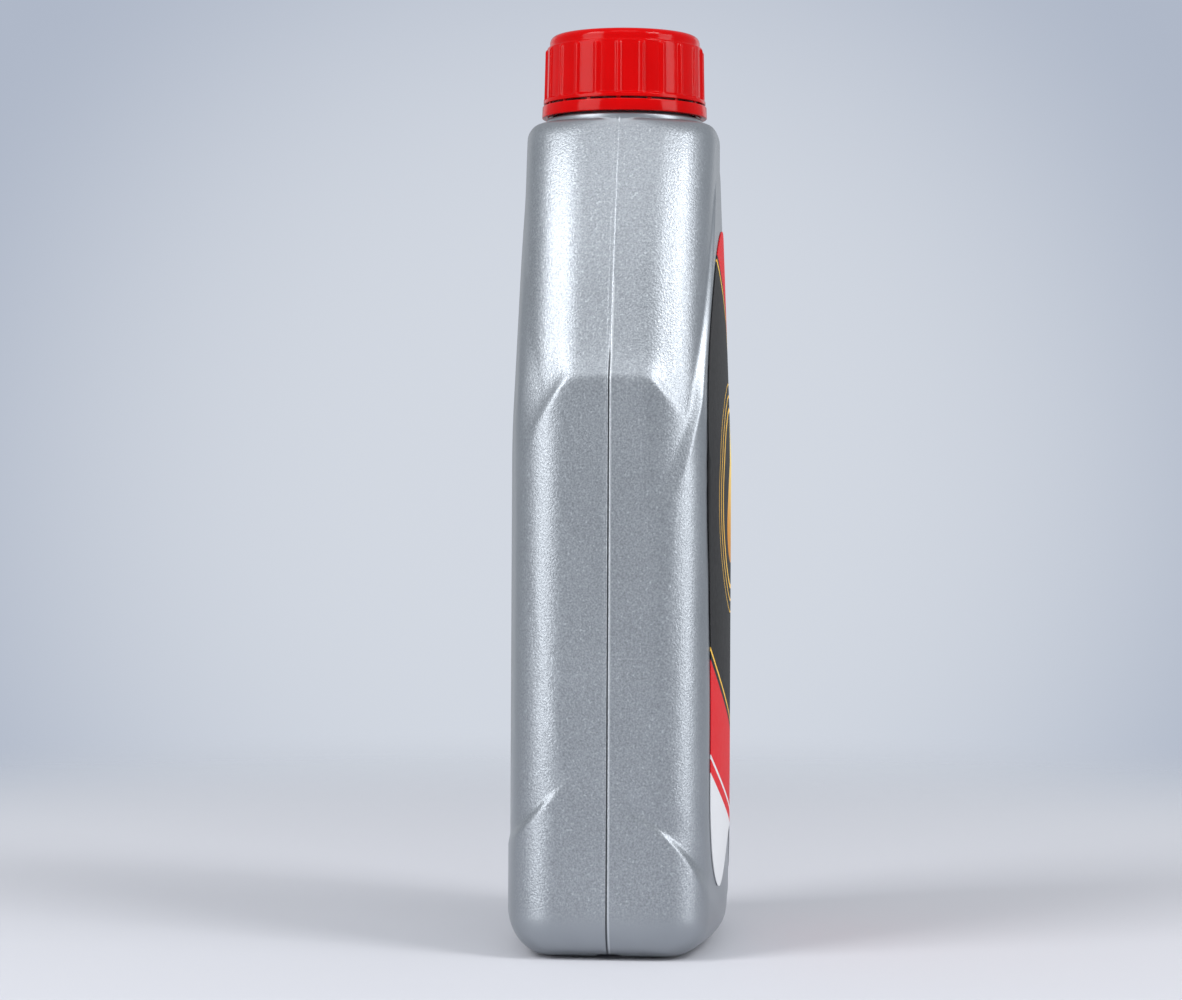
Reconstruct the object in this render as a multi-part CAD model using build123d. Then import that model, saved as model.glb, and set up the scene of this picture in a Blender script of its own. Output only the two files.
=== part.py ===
"""One-litre motor oil bottle: blow-moulded bottle, screw cap, tamper band, liner and front label.

Millimetres, +Z up, origin on the floor under the middle of the base, front label facing -Y.
The narrow sides of the bottle face -X and +X, and the mould's parting line runs down them.
"""
import math
import os

from build123d import *

# Bottle body
WIDTH = 102.0            # across the narrow sides, X
DEPTH = 59.4             # across the label faces, Y
CROWN = 220.0            # radius of the label faces in plan
CORNER = 14.5            # corner radius of the lower body in plan
FLANK_CORNER = 17.0      # the same beside the label panels, where the corner is set back
BASE_ROUND = 11.0        # rounding of the foot's bottom edge
BODY_ROUND = 14.0        # the same under the panels, hidden by the foot
WALL = 1.1
FLOOR = 2.0              # wall thickness under the liquid
SHOULDER_Z = 225.4       # flat top of the shoulder
CREASE_Z = 154.0         # crease across the narrow side, where the shoulder starts
SHOULDER_CORNER = 18.0   # corner radius of the shoulder in plan
SHOULDER_CROWN = 200.0
SHOULDER_ROUND = 4.2     # rounding of the shoulder's top edge
NECK_CORNER = 1.6        # how much rounder its corners end at the neck
SPARE = 10.0             # how far a cutting form reaches past what it cuts
SHOULDER_RISES = (-0.76, -0.39, -0.19, 0, 0.2, 0.4, 0.6, 0.8, 1)

# Label panels: a tongue on each face that runs up between the shoulder flanks
TAPER_DROP = 22.0           # the panel leans inwards from this far below the crease
TAPER_Z = CREASE_Z - TAPER_DROP
TAPER_LEAN = 0.039          # inwards for each millimetre up
ARCH_DROP = 12.1            # from the shoulder's flat top down to the arch
ARCH_TOP_Z = SHOULDER_Z - ARCH_DROP
ARCH_R = 18.4
TONGUE_LEAN = 30.0          # degrees off upright, side edge between arch and knee
TONGUE_KNEE_RISE = 4.6      # knee of the side edge above the crease
TONGUE_KNEE_Z = CREASE_Z + TONGUE_KNEE_RISE
TONGUE_KNEE_R = 60.0
TONGUE_LOW_LEAN = 13.0      # degrees off upright, side edge below the knee

# Foot: slightly proud of the panels, its top edge an arc in side view
FOOT_PROUD = 0.5
FOOT_CORNER = 13.0
FOOT_FRONT_Y = DEPTH / 2          # where the arcs would reach the floor
FOOT_BACK_REACH = 2.3             # the back arc reaches this far past the label face
FOOT_BACK_Y = DEPTH / 2 + FOOT_BACK_REACH
FOOT_ARC_Z = 39.0
FOOT_BACK_LIFT = 10.0    # the back panel ends this much higher
PUSH_UP = 2.5            # hollow in the base
PUSH_UP_EDGE = (18.0, 14.4)       # from the narrow side and from the label face to the hollow
PUSH_UP_LEAN = 35.0      # degrees off upright, side of the hollow
PUSH_UP_END = 2.0        # straight part at each end of the hollow
PINCH_NOTCH = (6.6, 0.8)  # relief where the pinch-off crosses the base: width, depth
SEAM_GROOVE = (0.5, 0.3)  # parting line on the narrow sides: width, depth

# Neck, with the radii of everything that turns round it
NECK_R = 18.5
NECK_WALL = 2.2
BORE_R = NECK_R - NECK_WALL
BEAD_PROUD = 2.2              # bead that keeps the tamper band on the neck
BEAD_R = NECK_R + BEAD_PROUD
RING_PROUD = 3.2              # glossy ring under the tamper band
RING_R = NECK_R + RING_PROUD
RING_H = 1.4                  # of the ring above the shoulder
RING_TOP_Z = SHOULDER_Z + RING_H
RING_ROOT = 5.0               # of the ring inside the shoulder
RING_LOW_Z = SHOULDER_Z - RING_ROOT
NECK_ROUND = 0.6              # rounding of the ring's top edge and of the lip
SHOULDER_UNDER = 1.5          # the shoulder closes in to this far inside the ring, across
SHOULDER_OVER = 0.5           # and this far outside it, along
SHOULDER_END_X = RING_R - SHOULDER_UNDER
SHOULDER_END_Y = RING_R + SHOULDER_OVER

# Tamper band
BAND_PLAY = 0.6               # between bead and band
BAND_BORE_R = BEAD_R + BAND_PLAY
BAND_WALL = 1.6
BAND_R = BAND_BORE_R + BAND_WALL
CATCH_PLAY = 1.3              # between neck and the catches under the bead
BAND_CATCH_R = NECK_R + CATCH_PLAY
BAND_GAP = 0.4                # above the ring
BAND_LOW_Z = RING_TOP_Z + BAND_GAP
BAND_H = 3.2
BAND_TOP_Z = BAND_LOW_Z + BAND_H
CATCH_H = 1.4                 # top of the catch above the band's lower edge
CATCH_LEAD = 0.6              # height of the lead-in under the catch
BAND_CHAMFER = 0.3
BEAD_GAP = 0.4                # between catch and bead
BEAD_Z = BAND_LOW_Z + CATCH_H + BEAD_GAP
BEAD_H = 0.5                  # upright edge of the bead
BEAD_SLOPE = 0.9              # height of the slope that the band is pushed over
BRIDGE_COUNT = 16
BRIDGE_W = 1.2
BRIDGE_GAP = 0.05             # hairline left between a bridge and the cap

# Cap
SLIT = 0.6                    # between band and cap
CAP_LOW_Z = BAND_TOP_Z + SLIT
CAP_H = 19.0
CAP_TOP_Z = CAP_LOW_Z + CAP_H
THREAD_ROOM = 1.7             # between neck and bore, for the thread
CAP_BORE_R = NECK_R + THREAD_ROOM
CAP_WALL = 1.6
CAP_R = CAP_BORE_R + CAP_WALL # skirt between the ribs, at its lower end
CAP_DRAFT = 0.3               # how much the skirt narrows towards the top
CROWN_STEP = 1.0
CROWN_RIM_R = CAP_R - CROWN_STEP   # plain rim above the ribs
CROWN_RIM_H = 3.4
CROWN_ROUND = 2.0             # rounding of the rim's outer edge
CROWN_RIM_W = 4.2             # flat top of the rim
RIB_COUNT = 22
RIB_R = 1.0                   # radius of a rib's round back
RIB_PROUD = 0.55
SKIRT_RIM_H = 0.9             # plain rim at the lower end of the skirt
LINER_T = 1.0
LINER_LAP = 0.4               # of the liner past the neck
LINER_R = NECK_R + LINER_LAP
LINER_PLAY = 0.2
CAP_PLATE = 1.8
CAP_DISH = 1.5                # depth of the dished top
MOUTH_Z = CAP_TOP_Z - CAP_DISH - CAP_PLATE - LINER_T

# Front label
LABEL_T = 0.2
LABEL_GAP = 0.05              # film of glue under it
LABEL_DROP = 17.5             # from the panel's arch down to the label
LABEL_TOP_Z = ARCH_TOP_Z - LABEL_DROP
LABEL_LOW_Z = 17.5
LABEL_SIDE = 41.0             # half width at its widest
LABEL_ARCH = 13.0             # how much the lower edge rises in the middle
LABEL_EDGE = (                # side edge from low to high: shares of the half width and of the height
    (0.63, 0.0), (0.81, 0.033), (0.873, 0.068), (0.915, 0.226), (0.965, 0.44), (1.0, 0.67),
    (0.965, 0.735), (0.71, 0.884), (0.2, 0.993))


def plan(z, half_width, half_depth, corner, crown):
    """Rounded rectangle with crowned long faces, tangent all the way round, at height z."""
    cx = half_width - corner
    yc = half_depth - crown
    cy = yc + math.sqrt((crown - corner) ** 2 - cx ** 2)
    turn = math.atan2(cy - yc, cx)
    tx, ty = crown * math.cos(turn), yc + crown * math.sin(turn)
    mx, my = cx + corner * math.cos(turn / 2), cy + corner * math.sin(turn / 2)
    outline = [
        Line((half_width, -cy), (half_width, cy)),
        ThreePointArc((half_width, cy), (mx, my), (tx, ty)),
        ThreePointArc((tx, ty), (0, half_depth), (-tx, ty)),
        ThreePointArc((-tx, ty), (-mx, my), (-half_width, cy)),
        Line((-half_width, cy), (-half_width, -cy)),
        ThreePointArc((-half_width, -cy), (-mx, -my), (-tx, -ty)),
        ThreePointArc((-tx, -ty), (0, -half_depth), (tx, -ty)),
        ThreePointArc((tx, -ty), (mx, -my), (half_width, -cy)),
    ]
    return Pos(0, 0, z) * make_face(outline)


def block(inset, base_round, corner, low=0.0):
    """The lower body carried straight up, set in by a wall."""
    face = plan(low, WIDTH / 2 - inset, DEPTH / 2 - inset, corner - inset, CROWN - inset)
    solid = extrude(face, amount=SHOULDER_Z + 0.6 * SPARE - low)
    return fillet(solid.edges().group_by(Axis.Z)[0], base_round)


def panel_form(inset, base_round, corner=CORNER, low=0.0):
    """The block with both label faces leaning inwards towards the top."""
    face_y = DEPTH / 2 - inset
    far_y = face_y + 1.2 * SPARE
    start, end = TAPER_Z - 2 * SPARE, SHOULDER_Z + SPARE
    axis_y = DEPTH / 2 - CROWN

    def lean_y(z):
        return face_y - TAPER_LEAN * (z - TAPER_Z)

    outside = Plane.YZ * make_face(Polyline(
        (lean_y(start), start), (lean_y(end), end), (far_y, end), (far_y, start), close=True))
    wedge = revolve(outside, Axis((0, axis_y, 0), (0, 0, 1)), revolution_arc=360)
    return block(inset, base_round, corner, low) - wedge - mirror(wedge, about=Plane.XZ)


def shoulder_form(inset):
    """Shoulder that narrows from the crease to the neck ring, open below the crease."""
    height = SHOULDER_Z - inset - CREASE_Z
    stations = []
    for rise in SHOULDER_RISES:
        above = max(rise, 0)
        across = 1 - 0.8 * rise - 0.2 * above ** 3
        deep = 0.80 - 0.55 * rise + 0.32 * rise ** 2
        half_width = SHOULDER_END_X + across * (WIDTH / 2 - SHOULDER_END_X)
        half_depth = SHOULDER_END_Y + deep * (DEPTH / 2 - SHOULDER_END_Y)
        corner = SHOULDER_CORNER + above ** 12 * NECK_CORNER
        stations.append(plan(CREASE_Z + rise * height, half_width - inset, half_depth - inset,
                             corner - inset, SHOULDER_CROWN - inset))
    shoulder = loft(stations)
    shoulder = fillet(shoulder.edges().group_by(Axis.Z)[-1], SHOULDER_ROUND - inset)
    low_z = CREASE_Z + SHOULDER_RISES[0] * height
    below = extrude(Pos(0, 0, low_z) * Rectangle(1.3 * WIDTH, 1.2 * DEPTH), amount=-1.1 * low_z)
    return shoulder + below


def tongue_region():
    """Front view of the label panel: arched top, side edges that widen to the full body."""
    lean, low_lean = math.radians(TONGUE_LEAN), math.radians(TONGUE_LOW_LEAN)
    arch_z = ARCH_TOP_Z - ARCH_R
    meet = (ARCH_R * math.cos(lean), arch_z + ARCH_R * math.sin(lean))
    knee = (meet[0] + (meet[1] - TONGUE_KNEE_Z) * math.tan(lean), TONGUE_KNEE_Z)
    out = max(0.62 * WIDTH, knee[0] + WIDTH / 10)
    end = (out, knee[1] - (out - knee[0]) / math.tan(low_lean))
    low = -BASE_ROUND
    half = [
        ThreePointArc((0, ARCH_TOP_Z), (ARCH_R * math.sin((math.pi / 2 - lean) / 2),
                                        arch_z + ARCH_R * math.cos((math.pi / 2 - lean) / 2)), meet),
        FilletPolyline(meet, knee, end, radius=TONGUE_KNEE_R),
        Polyline(end, (out, low), (0, low)),
    ]
    face = make_face(half + [Line((0, low), (0, ARCH_TOP_Z))])
    region = extrude(Plane.XZ * face, amount=DEPTH, both=True)
    return region + mirror(region, about=Plane.YZ)


def foot():
    """Foot of the bottle, its top edge dropping in an arc from the narrow sides to the label faces."""
    face = plan(0, WIDTH / 2, DEPTH / 2 + FOOT_PROUD, FOOT_CORNER, CROWN)
    solid = extrude(face, amount=FOOT_ARC_Z + FOOT_BACK_LIFT + FOOT_CORNER)
    solid = fillet(solid.edges().group_by(Axis.Z)[0], BASE_ROUND)
    length = 1.1 * WIDTH
    front = extrude(Plane.YZ * Ellipse(FOOT_FRONT_Y, FOOT_ARC_Z), amount=length / 2, both=True)
    back = extrude(Plane.YZ * Ellipse(FOOT_BACK_Y, FOOT_ARC_Z), amount=length / 2, both=True)
    low_back = Pos(0, DEPTH / 2, FOOT_BACK_LIFT / 2) * Box(length, DEPTH, FOOT_BACK_LIFT)
    front = split(front, Plane.XZ, keep=Keep.TOP)
    back = split(Pos(0, 0, FOOT_BACK_LIFT) * back, Plane.XZ, keep=Keep.BOTTOM) + low_back
    return solid & (front + back)


def neck():
    """Neck with its ring and the bead that keeps the tamper band on."""
    bead_top = BEAD_Z + BEAD_H
    profile = Polyline(
        (0, RING_LOW_Z), (RING_R, RING_LOW_Z), (RING_R, RING_TOP_Z), (NECK_R, RING_TOP_Z), (NECK_R, BEAD_Z),
        (BEAD_R, BEAD_Z), (BEAD_R, bead_top), (NECK_R, bead_top + BEAD_SLOPE), (NECK_R, MOUTH_Z),
        (0, MOUTH_Z), close=True)
    solid = revolve(Plane.XZ * make_face(profile), Axis.Z, revolution_arc=360)
    ring_top = solid.edges().filter_by(GeomType.CIRCLE).filter_by(
        lambda e: abs(e.radius - RING_R) < 0.01 and abs(e.center().Z - RING_TOP_Z) < 0.01)
    lip = solid.edges().filter_by(GeomType.CIRCLE).filter_by(
        lambda e: abs(e.radius - NECK_R) < 0.01 and abs(e.center().Z - MOUTH_Z) < 0.01)
    return fillet(ring_top + lip, NECK_ROUND)


def push_up(grow, height):
    """Tapered block under the base: the hollow itself, or the floor raised over it."""
    size_x, size_y = WIDTH - 2 * PUSH_UP_EDGE[0], DEPTH - 2 * PUSH_UP_EDGE[1]
    face = RectangleRounded(size_x + 2 * grow, size_y + 2 * grow, (size_y - PUSH_UP_END) / 2)
    return extrude(face, amount=height, taper=PUSH_UP_LEAN)


def bottle():
    """Outer form, neck and inside of the bottle."""
    tongue = tongue_region()
    outer = (block(0, BODY_ROUND, FLANK_CORNER) & shoulder_form(0)) - tongue
    outer = outer + (panel_form(0, BODY_ROUND) & tongue)
    outer = outer + foot() + neck()

    inside = panel_form(WALL, BASE_ROUND - WALL, FLANK_CORNER, FLOOR) & shoulder_form(WALL)
    inside = inside - push_up(FLOOR, PUSH_UP + FLOOR)
    bore = Pos(0, 0, RING_LOW_Z) * extrude(Circle(BORE_R), amount=1.1 * (MOUTH_Z - RING_LOW_Z))
    outer = outer - inside - bore - push_up(0, PUSH_UP)

    notch_w, notch_d = PINCH_NOTCH
    outer = outer - Box(WIDTH, notch_w, 2 * notch_d)
    groove_w, groove_d = SEAM_GROOVE
    for side in (-1, 1):
        length = CREASE_Z - 1.5 * BASE_ROUND
        middle = 1.25 * BASE_ROUND + length / 2
        outer = outer - Pos(side * WIDTH / 2, 0, middle) * Box(2 * groove_d, groove_w, length)
    return outer


def cap():
    """Screw cap: ribbed skirt, plain crown rim and a shallow dished top."""
    panel_z = MOUTH_Z + LINER_T
    step_z = CAP_TOP_Z - CROWN_RIM_H
    dish_z = CAP_TOP_Z - CAP_DISH
    seat_r = LINER_R + LINER_PLAY
    top_r = CAP_R - CAP_DRAFT
    rim_r = CAP_R + 1.25 * RIB_PROUD
    profile = Polyline(
        (0, panel_z), (seat_r, panel_z), (seat_r, MOUTH_Z - LINER_T), (CAP_BORE_R, MOUTH_Z - 1.5 * LINER_T),
        (CAP_BORE_R, CAP_LOW_Z), (rim_r, CAP_LOW_Z), (rim_r, CAP_LOW_Z + SKIRT_RIM_H),
        (CAP_R, CAP_LOW_Z + 1.5 * SKIRT_RIM_H), (top_r, step_z), (CROWN_RIM_R, step_z + CAP_DRAFT),
        (CROWN_RIM_R, CAP_TOP_Z), (CROWN_RIM_R - CROWN_RIM_W, CAP_TOP_Z),
        (CROWN_RIM_R - 1.1 * CROWN_RIM_W, dish_z), (0, dish_z), close=True)
    solid = revolve(Plane.XZ * make_face(profile), Axis.Z, revolution_arc=360)
    rounded = solid.edges().filter_by(GeomType.CIRCLE).filter_by(
        lambda e: abs(e.radius - CROWN_RIM_R) < 0.01 and abs(e.center().Z - CAP_TOP_Z) < 0.01)
    solid = fillet(rounded, CROWN_ROUND)

    rib_low, rib_top, out = CAP_LOW_Z + SKIRT_RIM_H / 2, step_z - CAP_DRAFT, CAP_R + RIB_PROUD
    root_r = (CAP_BORE_R + CAP_R) / 2
    envelope = make_face([
        Polyline((out - RIB_R - CAP_DRAFT, rib_top), (root_r, rib_top), (root_r, rib_low),
                 (out, rib_low), (out - CAP_DRAFT, rib_top - RIB_R)),
        RadiusArc((out - CAP_DRAFT, rib_top - RIB_R), (out - RIB_R - CAP_DRAFT, rib_top), -RIB_R),
    ])
    ribs = revolve(Plane.XZ * envelope, Axis.Z, revolution_arc=360)
    rod = extrude(Pos(out - RIB_R, 0, CAP_LOW_Z) * Circle(RIB_R), amount=CAP_H)
    pitch = 360 / RIB_COUNT
    ribbed = solid + [ribs & (Rot(0, 0, pitch * (i + 0.5)) * rod) for i in range(RIB_COUNT)]
    return Rot(0, 0, pitch / 2) * ribbed


def tamper_band():
    """Ring that stays on the neck, with the bridges that the first turn of the cap breaks."""
    catch_z = BAND_LOW_Z + CATCH_H
    profile = Polyline(
        (BAND_BORE_R, BAND_TOP_Z), (BAND_BORE_R, catch_z + BAND_CHAMFER / 3), (BAND_CATCH_R, catch_z),
        (BAND_CATCH_R + BAND_CHAMFER, BAND_LOW_Z + CATCH_LEAD), (BAND_BORE_R - BAND_CHAMFER, BAND_LOW_Z),
        (BAND_R, BAND_LOW_Z), (BAND_R - BAND_CHAMFER / 3, BAND_TOP_Z), close=True)
    solid = revolve(Plane.XZ * make_face(profile), Axis.Z, revolution_arc=360)
    top = CAP_LOW_Z - BRIDGE_GAP
    height = top - BAND_TOP_Z + BAND_CHAMFER
    deep = CAP_R - BAND_BORE_R
    bridge = Pos(BAND_BORE_R + deep / 2, 0, top - height / 2) * Box(deep, BRIDGE_W, height)
    return solid + [Rot(0, 0, 360 / BRIDGE_COUNT * i) * bridge for i in range(BRIDGE_COUNT)]


def cap_liner():
    """Foam disc between the cap and the mouth of the neck."""
    return Pos(0, 0, MOUTH_Z + LINER_T / 2) * Cylinder(LINER_R, LINER_T)


def front_label():
    """Film label on the front panel: arched top and bottom, sides that follow the panel, rounded corners."""
    height = LABEL_TOP_Z - LABEL_LOW_Z
    right = [(x * LABEL_SIDE, LABEL_LOW_Z + z * height) for x, z in LABEL_EDGE]
    right.insert(0, (right[0][0] / 2, LABEL_LOW_Z + LABEL_ARCH / 2))
    left = [(-x, z) for x, z in reversed(right)]
    outline = Spline(*right, (0, LABEL_TOP_Z), *left, (0, LABEL_LOW_Z + LABEL_ARCH), periodic=True)
    stamp = extrude(Plane.XZ * make_face(outline), amount=DEPTH)
    return (panel_form(-LABEL_GAP - LABEL_T, BODY_ROUND) & stamp) - panel_form(-LABEL_GAP, BODY_ROUND)


os.makedirs("parts", exist_ok=True)
for name, solid in (("bottle", bottle()), ("cap", cap()), ("tamper_band", tamper_band()),
                    ("cap_liner", cap_liner()), ("front_label", front_label())):
    export_step(solid, f"parts/{name}.step")
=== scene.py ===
"""Looks of the oil bottle: moulded silver body, ribbed red cap, tamper band, liner and printed label.

Lengths in the forms are millimetres, as in the solids, and become metres when a piece is made.
"""
import math

import bmesh
import bpy
import numpy as np
from mathutils import Matrix, Vector


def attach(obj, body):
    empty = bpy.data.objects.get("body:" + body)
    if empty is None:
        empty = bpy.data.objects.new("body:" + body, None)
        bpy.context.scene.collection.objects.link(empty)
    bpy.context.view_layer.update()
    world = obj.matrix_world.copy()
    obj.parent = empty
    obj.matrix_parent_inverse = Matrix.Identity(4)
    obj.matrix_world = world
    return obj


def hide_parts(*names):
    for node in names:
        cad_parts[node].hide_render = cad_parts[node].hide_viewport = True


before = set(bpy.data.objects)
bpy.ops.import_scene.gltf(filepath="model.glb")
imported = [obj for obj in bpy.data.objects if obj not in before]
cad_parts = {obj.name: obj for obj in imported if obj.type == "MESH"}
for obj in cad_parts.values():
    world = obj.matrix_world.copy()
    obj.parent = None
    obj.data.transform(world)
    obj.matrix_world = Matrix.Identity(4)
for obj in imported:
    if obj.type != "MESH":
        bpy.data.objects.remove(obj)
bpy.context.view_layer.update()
MM = 0.001
FULL_TURN = 2 * math.pi

# Camera and picture
IMAGE_WIDTH, FOCAL_PX, SENSOR = 1182, 3225.0, 36.0
VIEW_AZIMUTH = -85.1
CAMERA_FAR, CAMERA_ASIDE, CAMERA_HIGH, CAMERA_ROLL = 0.897, 0.0088, 0.1213, 0.28

# Body: as in the solids, except the flank's corners, the shoulder's end and the edges of panel and foot
WIDTH, DEPTH, CROWN, CORNER, FLANK_CORNER = 102.0, 59.4, 220.0, 14.5, 18.0
BASE_ROUND, BODY_ROUND, WALL, FLOOR = 11.0, 14.0, 1.1, 2.0
SHOULDER_Z, CREASE_Z = 225.4, 154.0
SHOULDER_CORNER, SHOULDER_CROWN, SHOULDER_END_X, SHOULDER_END_Y = 18.0, 200.0, 22.9, 22.2
TAPER_Z, TAPER_LEAN = 132.0, 0.039
BACK_TAPER_Z, BACK_TAPER_LEAN = 139.0, 0.048   # the back panel stands less proud of the flanks
ARCH_TOP_Z, ARCH_R, TONGUE_LEAN = 213.3, 18.4, math.radians(27.5)
TONGUE_KNEE, TONGUE_ROUND = (45.5, 147.0), 4.0
TONGUE_LOW_LEAN, BACK_LOW_LEAN = math.radians(11.0), math.radians(3.0)
FOOT_PROUD, FOOT_CORNER, FOOT_FRONT_Y = 0.5, 13.0, 29.7
FOOT_ARC_Z, FOOT_BACK_TOP = 39.0, 58.0
PUSH_UP, PUSH_UP_HALF, PUSH_UP_CORNER = 2.5, (33.0, 15.3), 14.3
PUSH_UP_EDGE = 2.2   # over this width the base rises into its hollow
PINCH_HALF, PINCH_H, PINCH_EDGE, PINCH_X = 3.3, 1.2, 0.5, (30.0, 33.0)
SCAR_H, SCAR_HALF, SCAR_X = 0.35, 0.45, (27.0, 31.0)

# Shoulder, over its rise from the crease (0) to the neck ring (1)
LOWEST_RISE = -0.6   # it goes on below the crease, where its corners open
SHOULDER_BOW = 0.2   # this share of the narrowing comes late, with the cube of the rise
DEPTH_SHARE, DEPTH_FALL, DEPTH_HOLD = 0.80, 0.55, 0.32   # at the crease, with the rise, with its square
TOP_ROUND_FROM, TOP_ROUND_RUN = 0.93, 0.07   # the faces round over towards the ring
TOP_CORNER, TOP_CORNER_POWER = 1.6, 12   # the corners widen beside the ring

# Parting line and the groove above the foot
SEAM_DEPTH, SEAM_LOSS, SEAM_HALF = 0.34, 0.30, 0.2
SEAM_FADE_LOW, SEAM_FADE_HIGH = CREASE_Z + 2, CREASE_Z + 14
LIP_Y, LIP_HALF = 0.55, 0.25
FRONT_GROOVE, FRONT_GROOVE_Y = 0.36, (2.0, 9.0)
BACK_GROOVE, BACK_GROOVE_Y = 0.2, (6.0, 16.0)
GROOVE_WIDE, NARROW_SIDE_X = 9.0, 40.0

# Neck and cap
NECK_R, BORE_R, BEAD_R, RING_R = 18.5, 16.3, 20.7, 21.7
RING_TOP_Z, BEAD_Z, MOUTH_Z = 226.8, 229.0, 245.7
THREAD_PITCH, THREAD_LOW_Z, THREAD_TURNS = 4.2, 233.2, 2.3
THREAD_PROUD, CAP_THREAD, THREAD_FLANK, THREAD_RUN_IN = 1.25, 1.1, (0.35, 0.95), 0.1
BAND_BORE_R, BAND_R, BAND_CATCH_R, BAND_LOW_Z, BAND_TOP_Z = 21.3, 22.9, 19.8, 227.2, 230.4
CAP_LOW_Z, CAP_TOP_Z, CAP_BORE_R, CAP_R, CAP_DRAFT = 231.0, 250.0, 20.2, 21.8, 0.3
CROWN_RIM_R, CROWN_RIM_H, CROWN_ROUND, CROWN_RIM_W, CAP_DISH = 20.8, 3.4, 2.0, 4.2, 1.5
CAP_RIM_H, CAP_RIM_EDGE, CAP_RIM_PROUD = 1.4, 0.9, 0.15   # the plain rim under the ribs
RIB_COUNT, RIB_R, RIB_PROUD, RIB_TOP_GAP, RIB_STEPS = 22, 1.0, 0.55, 0.2, 20
LINER_R, LINER_T, LINER_PLAY = 18.9, 1.0, 0.2
BRIDGE_COUNT, BRIDGE_W, BRIDGE_ROUND, BRIDGE_GAP, BRIDGE_ROOT = 16, 1.2, 0.12, 0.05, 0.4
CAP_SOFT, BAND_SOFT, LINER_SOFT = 0.15, 0.25, 0.15

# How soft the mould's edges are
CREASE_SOFT, CORNER_SOFT, STEP_SOFT, FOOT_SOFT, RING_SOFT = 1.4, 0.4, 0.7, 1.0, 0.5
PANEL_SOFT, BACK_STEP_SOFT, RIM_ROUND = 0.4, 3.5, 1.0
CORNER_SOFT_Y = (8.0, 15.0)   # the crease gets sharper between these distances from the parting line
RING_BLEND_H = 5.0   # so far below its top the shoulder can run into the neck ring
RIDGE, RIDGE_H = 1.6, 3.4   # the crease stands out a little, and sinks away over this height
CREASE_HALF, CREASE_RUN = 11.7, 1.7   # the crease is level so far from the parting line, then runs down
RIDGE_FADE, RIDGE_FADE_Y = 0.8, (14.0, 24.0)   # and fades towards the corners
CREASE_BEND, CREASE_OPENING = 2.0, 0.03   # how gently the crease turns down, and its corner opens
CREASE_DROP = 18.0   # how fast the shoulder's corner opens below the level crease
UNDERCUT, UNDERCUT_Z = 1.6, 0.7   # the standing band lies back under the rounded base
SKIN = 0.06   # the skin lies this far inside the solid, so that the seam's lips don't stand out of it

# Columns and rings of the bottle's skin
NEAREST_R, FARTHEST_R, HALVINGS = 2.0, 75.0, 36
SEAM_STEPS = (0.0, 0.12, 0.24, 0.38, 0.55, 0.75, 1.0, 1.5, 2.3, 3.4)
EDGE_STEPS = (-2.4, -1.7, -1.2, -0.8, -0.5, -0.25, 0.0, 0.25, 0.5, 0.8, 1.2, 1.7, 2.4)
FINE_TURN = np.linspace(0.0, math.pi / 2, 361)
FLANK_COLUMNS, FACE_COLUMNS = 36, 17
LEAST_REACH, SIDE_MARGIN, FACE_MARGIN = 8.0, 0.7, 6.0
PANEL_COLUMNS_Z, FOOT_COLUMNS_Y, FOOT_TOP_MARGIN = 120.0, 9.0, 1.2
SHARP_ANGLE, STRAIGHT_ANGLE = math.radians(50), math.radians(5)


def smooth_step(value, low, high):
    share = np.clip((value - low) / (high - low), 0.0, 1.0)
    return share * share * (3 - 2 * share)


def soft_max(a, b, soft):
    near = np.maximum(soft - np.abs(a - b), 0) / soft
    return np.maximum(a, b) + near * near * soft / 4


def soft_min(a, b, soft):
    return -soft_max(-a, -b, soft)


def soft_part(value, soft):
    """The positive part of a value, without a kink at nought."""
    return (value + np.sqrt(value * value + soft * soft)) / 2


def plan_distance(x, y, half_width, half_depth, corner, crown):
    """Distance outside a rounded rectangle with crowned long faces."""
    x, y = np.abs(x), np.abs(y)
    corner_x = half_width - corner
    axis_y = half_depth - crown
    corner_y = axis_y + np.sqrt((crown - corner) ** 2 - corner_x ** 2)
    side = x - half_width
    face = np.hypot(x, y - axis_y) - crown
    rounded = np.hypot(x - corner_x, y - corner_y) - corner
    at_corner = (y > corner_y) & (x * (corner_y - axis_y) > corner_x * (y - axis_y))
    return np.where(at_corner, rounded, np.where(y <= corner_y, side, face))


def block_distance(x, y, corner):
    return plan_distance(x, y, WIDTH / 2, DEPTH / 2, corner, CROWN)


def shoulder_distance(x, y, z):
    """Distance outside the shoulder, which narrows from the crease to the neck ring."""
    rise = np.clip((z - CREASE_Z) / (SHOULDER_Z - CREASE_Z), LOWEST_RISE, 1.0)
    above = np.maximum(rise, 0)
    across = 1 - (1 - SHOULDER_BOW) * rise - SHOULDER_BOW * above ** 3
    ending = np.maximum(rise - TOP_ROUND_FROM, 0) / TOP_ROUND_RUN
    deep = (DEPTH_SHARE - DEPTH_FALL * rise + DEPTH_HOLD * rise ** 2) * np.sqrt(1 - ending ** 2)
    over = z - CREASE_Z + CREASE_RUN * soft_part(np.abs(y) - CREASE_HALF, CREASE_BEND)
    ridge = RIDGE * (1 - np.exp(-np.maximum(over, 0) / RIDGE_H))
    ridge = ridge * (1 - RIDGE_FADE * smooth_step(np.abs(y), *RIDGE_FADE_Y))
    half_width = SHOULDER_END_X + across * (WIDTH / 2 - SHOULDER_END_X) - ridge
    half_depth = SHOULDER_END_Y + deep * (DEPTH / 2 - SHOULDER_END_Y)
    corner = SHOULDER_CORNER + above ** TOP_CORNER_POWER * TOP_CORNER
    corner = corner + CREASE_DROP * soft_part(-rise, CREASE_OPENING)
    return plan_distance(x, y, half_width, half_depth, corner, SHOULDER_CROWN)


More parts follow.
